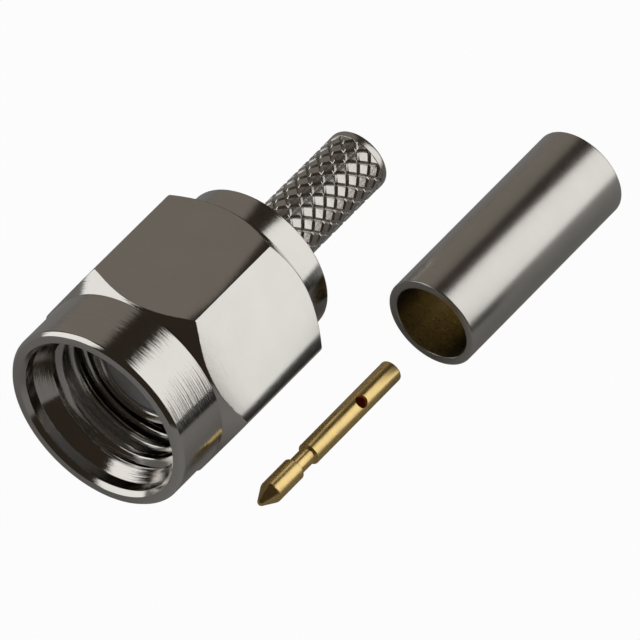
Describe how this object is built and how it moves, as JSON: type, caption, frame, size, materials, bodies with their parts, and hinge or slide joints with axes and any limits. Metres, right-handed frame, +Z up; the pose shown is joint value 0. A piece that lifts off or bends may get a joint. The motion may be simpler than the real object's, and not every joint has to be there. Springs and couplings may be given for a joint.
{
  "type": "coaxial crimp plug connector",
  "caption": "Straight coaxial crimp plug laid out loose: hexagonal coupling nut turning on a body with a knurled crimp stem, contact pin and crimp ferrule beside it.",
  "frame": {"origin": "on the connector's axis at the reference plane, the front end of the outer conductor sleeve", "axes": "+Y along the axis toward the crimp stem, the mating face looks toward -Y, +Z up with a nut flat down at -4 mm, +X toward the loose pin and ferrule"},
  "size_m": [0.0125, 0.0223, 0.008],
  "materials": {
    "nut_nickel": "bright nickel plate over turned brass",
    "body_nickel": "bright nickel plate over turned brass",
    "ferrule_nickel": "satin nickel plate over drawn brass",
    "spring_bronze": "phosphor bronze strip",
    "silicone": "matt silicone rubber",
    "ptfe": "waxy white PTFE",
    "gold": "bright gold plate over brass"
  },
  "bodies": {
    "connector": {"connector_body": "body_nickel", "retaining_ring": "spring_bronze", "gasket": "silicone", "insulator": "ptfe", "contact_pin": "gold", "crimp_ferrule": "ferrule_nickel"},
    "nut": {"coupling_nut": "nut_nickel"}
  },
  "joints": [
    {"name": "nut_spin", "type": "hinge", "parent": "connector", "child": "nut", "pos_m": [0, 0, 0], "axis": [0, 1, 0], "continuous": true}
  ]
}
